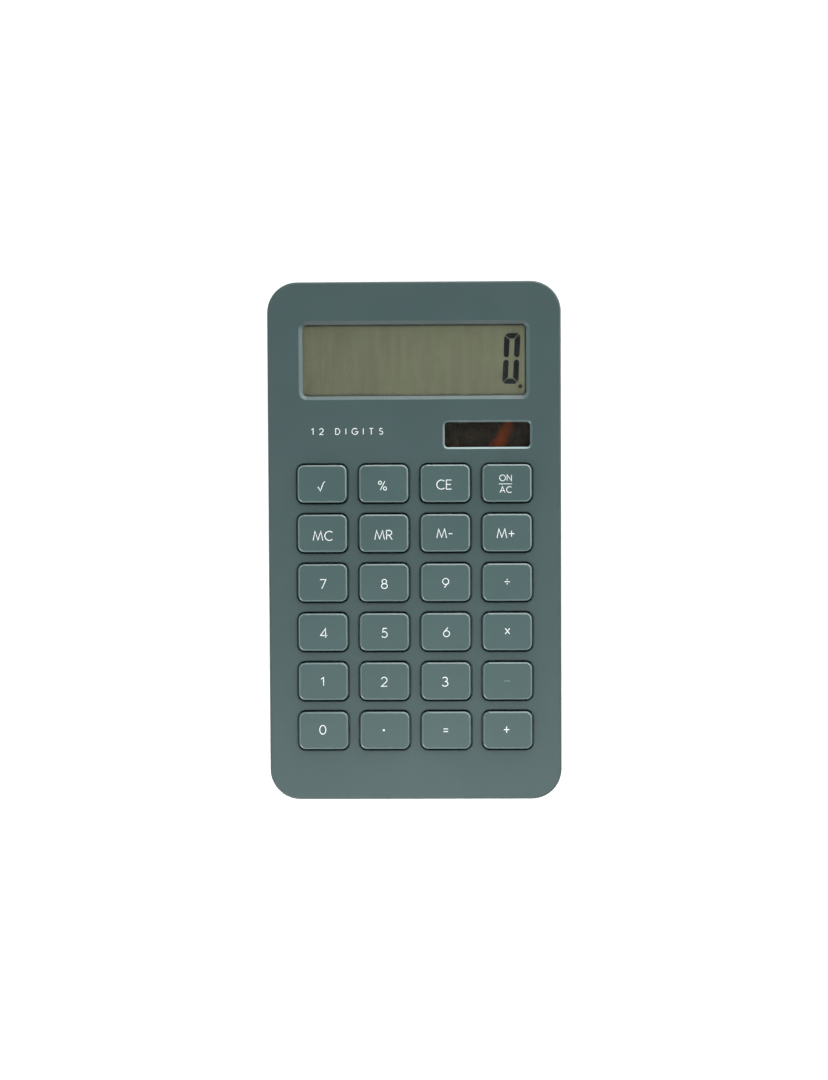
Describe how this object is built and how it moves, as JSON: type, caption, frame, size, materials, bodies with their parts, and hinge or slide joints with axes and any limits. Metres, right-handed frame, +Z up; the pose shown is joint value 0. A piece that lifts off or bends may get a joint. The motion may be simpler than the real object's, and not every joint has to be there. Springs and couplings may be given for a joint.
{
  "type": "pocket calculator",
  "caption": "Slim slate-green desk calculator with a recessed liquid-crystal display, a solar cell beside a plain label, sprung keys and a hinged battery door underneath.",
  "frame": {"origin": "under the middle of the case, on the surface that the four rubber feet stand on", "axes": "+X across the keys to the right-hand column, +Y from the bottom key row towards the display, +Z up out of the keys"},
  "size_m": [0.1, 0.177, 0.011],
  "materials": {
    "case_plastic": "soft matte slate green, fine grained",
    "key_plastic": "satin slate green, a little lighter than the case",
    "silicone": "translucent grey silicone with black carbon pills",
    "board_laminate": "phenolic laminate with a satin solder mask",
    "window_plastic": "clear polished acrylic",
    "polariser_film": "grey film, satin",
    "display_glass": "clear polished glass",
    "reflector_film": "grey-green pearl, satin",
    "contact_rubber": "matte black and grey layered rubber",
    "foam_pad": "open matte foam",
    "solar_glass": "dark brown glossy cell",
    "lead_insulation_red": "glossy insulation",
    "lead_insulation_black": "glossy insulation",
    "solder": "bright solder",
    "epoxy": "black potting epoxy, semi-gloss",
    "capacitor_ceramic": "fired ceramic, satin",
    "resistor_ceramic": "fired ceramic, satin",
    "contact_metal": "nickel-plated strip",
    "cell_steel": "drawn stainless steel",
    "screw_steel": "zinc-plated steel",
    "foot_rubber": "matte black rubber"
  },
  "bodies": {
    "case": {"top_cover": "case_plastic", "rear_cover": "case_plastic", "dome_sheet": "silicone", "main_board": "board_laminate", "lcd_window": "window_plastic", "lcd_front_polariser": "polariser_film", "lcd_front_glass": "display_glass", "lcd_rear_glass": "display_glass", "lcd_reflector": "reflector_film", "lcd_contact_strip": "contact_rubber", "lcd_foam_pad": "foam_pad", "solar_window": "window_plastic", "solar_cell": "solar_glass", "solar_lead_positive": "lead_insulation_red", "solar_lead_negative": "lead_insulation_black", "solder_joints": "solder", "chip_encapsulation": "epoxy", "board_capacitors": "capacitor_ceramic", "board_resistors": "resistor_ceramic", "battery_spring_negative": "contact_metal", "battery_contact_positive": "contact_metal", "button_cell": "cell_steel", "case_screws": "screw_steel", "board_screws": "screw_steel", "foot_front_left": "foot_rubber", "foot_front_right": "foot_rubber", "foot_back_left": "foot_rubber", "foot_back_right": "foot_rubber"},
    "battery_door": {"battery_door": "case_plastic"},
    "key_square_root": {"key_square_root": "key_plastic"},
    "key_percent": {"key_percent": "key_plastic"},
    "key_clear_entry": {"key_clear_entry": "key_plastic"},
    "key_on_all_clear": {"key_on_all_clear": "key_plastic"},
    "key_memory_clear": {"key_memory_clear": "key_plastic"},
    "key_memory_recall": {"key_memory_recall": "key_plastic"},
    "key_memory_minus": {"key_memory_minus": "key_plastic"},
    "key_memory_plus": {"key_memory_plus": "key_plastic"},
    "key_7": {"key_7": "key_plastic"},
    "key_8": {"key_8": "key_plastic"},
    "key_9": {"key_9": "key_plastic"},
    "key_divide": {"key_divide": "key_plastic"},
    "key_4": {"key_4": "key_plastic"},
    "key_5": {"key_5": "key_plastic"},
    "key_6": {"key_6": "key_plastic"},
    "key_multiply": {"key_multiply": "key_plastic"},
    "key_1": {"key_1": "key_plastic"},
    "key_2": {"key_2": "key_plastic"},
    "key_3": {"key_3": "key_plastic"},
    "key_minus": {"key_minus": "key_plastic"},
    "key_0": {"key_0": "key_plastic"},
    "key_decimal_point": {"key_decimal_point": "key_plastic"},
    "key_equals": {"key_equals": "key_plastic"},
    "key_plus": {"key_plus": "key_plastic"}
  },
  "joints": [
    {"name": "key_square_root_press", "type": "slide", "parent": "case", "child": "key_square_root", "axis": [0, 0, -1], "range_m": [0, 0.0012], "stiffness_N_per_m": 550, "deforming": ["dome_sheet"]},
    {"name": "key_percent_press", "type": "slide", "parent": "case", "child": "key_percent", "axis": [0, 0, -1], "range_m": [0, 0.0012], "stiffness_N_per_m": 550, "deforming": ["dome_sheet"]},
    {"name": "key_clear_entry_press", "type": "slide", "parent": "case", "child": "key_clear_entry", "axis": [0, 0, -1], "range_m": [0, 0.0012], "stiffness_N_per_m": 550, "deforming": ["dome_sheet"]},
    {"name": "key_on_all_clear_press", "type": "slide", "parent": "case", "child": "key_on_all_clear", "axis": [0, 0, -1], "range_m": [0, 0.0012], "stiffness_N_per_m": 550, "deforming": ["dome_sheet"]},
    {"name": "key_memory_clear_press", "type": "slide", "parent": "case", "child": "key_memory_clear", "axis": [0, 0, -1], "range_m": [0, 0.0012], "stiffness_N_per_m": 550, "deforming": ["dome_sheet"]},
    {"name": "key_memory_recall_press", "type": "slide", "parent": "case", "child": "key_memory_recall", "axis": [0, 0, -1], "range_m": [0, 0.0012], "stiffness_N_per_m": 550, "deforming": ["dome_sheet"]},
    {"name": "key_memory_minus_press", "type": "slide", "parent": "case", "child": "key_memory_minus", "axis": [0, 0, -1], "range_m": [0, 0.0012], "stiffness_N_per_m": 550, "deforming": ["dome_sheet"]},
    {"name": "key_memory_plus_press", "type": "slide", "parent": "case", "child": "key_memory_plus", "axis": [0, 0, -1], "range_m": [0, 0.0012], "stiffness_N_per_m": 550, "deforming": ["dome_sheet"]},
    {"name": "key_7_press", "type": "slide", "parent": "case", "child": "key_7", "axis": [0, 0, -1], "range_m": [0, 0.0012], "stiffness_N_per_m": 550, "deforming": ["dome_sheet"]},
    {"name": "key_8_press", "type": "slide", "parent": "case", "child": "key_8", "axis": [0, 0, -1], "range_m": [0, 0.0012], "stiffness_N_per_m": 550, "deforming": ["dome_sheet"]},
    {"name": "key_9_press", "type": "slide", "parent": "case", "child": "key_9", "axis": [0, 0, -1], "range_m": [0, 0.0012], "stiffness_N_per_m": 550, "deforming": ["dome_sheet"]},
    {"name": "key_divide_press", "type": "slide", "parent": "case", "child": "key_divide", "axis": [0, 0, -1], "range_m": [0, 0.0012], "stiffness_N_per_m": 550, "deforming": ["dome_sheet"]},
    {"name": "key_4_press", "type": "slide", "parent": "case", "child": "key_4", "axis": [0, 0, -1], "range_m": [0, 0.0012], "stiffness_N_per_m": 550, "deforming": ["dome_sheet"]},
    {"name": "key_5_press", "type": "slide", "parent": "case", "child": "key_5", "axis": [0, 0, -1], "range_m": [0, 0.0012], "stiffness_N_per_m": 550, "deforming": ["dome_sheet"]},
    {"name": "key_6_press", "type": "slide", "parent": "case", "child": "key_6", "axis": [0, 0, -1], "range_m": [0, 0.0012], "stiffness_N_per_m": 550, "deforming": ["dome_sheet"]},
    {"name": "key_multiply_press", "type": "slide", "parent": "case", "child": "key_multiply", "axis": [0, 0, -1], "range_m": [0, 0.0012], "stiffness_N_per_m": 550, "deforming": ["dome_sheet"]},
    {"name": "key_1_press", "type": "slide", "parent": "case", "child": "key_1", "axis": [0, 0, -1], "range_m": [0, 0.0012], "stiffness_N_per_m": 550, "deforming": ["dome_sheet"]},
    {"name": "key_2_press", "type": "slide", "parent": "case", "child": "key_2", "axis": [0, 0, -1], "range_m": [0, 0.0012], "stiffness_N_per_m": 550, "deforming": ["dome_sheet"]},
    {"name": "key_3_press", "type": "slide", "parent": "case", "child": "key_3", "axis": [0, 0, -1], "range_m": [0, 0.0012], "stiffness_N_per_m": 550, "deforming": ["dome_sheet"]},
    {"name": "key_minus_press", "type": "slide", "parent": "case", "child": "key_minus", "axis": [0, 0, -1], "range_m": [0, 0.0012], "stiffness_N_per_m": 550, "deforming": ["dome_sheet"]},
    {"name": "key_0_press", "type": "slide", "parent": "case", "child": "key_0", "axis": [0, 0, -1], "range_m": [0, 0.0012], "stiffness_N_per_m": 550, "deforming": ["dome_sheet"]},
    {"name": "key_decimal_point_press", "type": "slide", "parent": "case", "child": "key_decimal_point", "axis": [0, 0, -1], "range_m": [0, 0.0012], "stiffness_N_per_m": 550, "deforming": ["dome_sheet"]},
    {"name": "key_equals_press", "type": "slide", "parent": "case", "child": "key_equals", "axis": [0, 0, -1], "range_m": [0, 0.0012], "stiffness_N_per_m": 550, "deforming": ["dome_sheet"]},
    {"name": "key_plus_press", "type": "slide", "parent": "case", "child": "key_plus", "axis": [0, 0, -1], "range_m": [0, 0.0012], "stiffness_N_per_m": 550, "deforming": ["dome_sheet"]},
    {"name": "battery_door_hinge", "type": "hinge", "parent": "case", "child": "battery_door", "pos_m": [-0.02, 0.0294, 0.0018], "axis": [-1, 0, 0], "range_deg": [0, 80]}
  ]
}
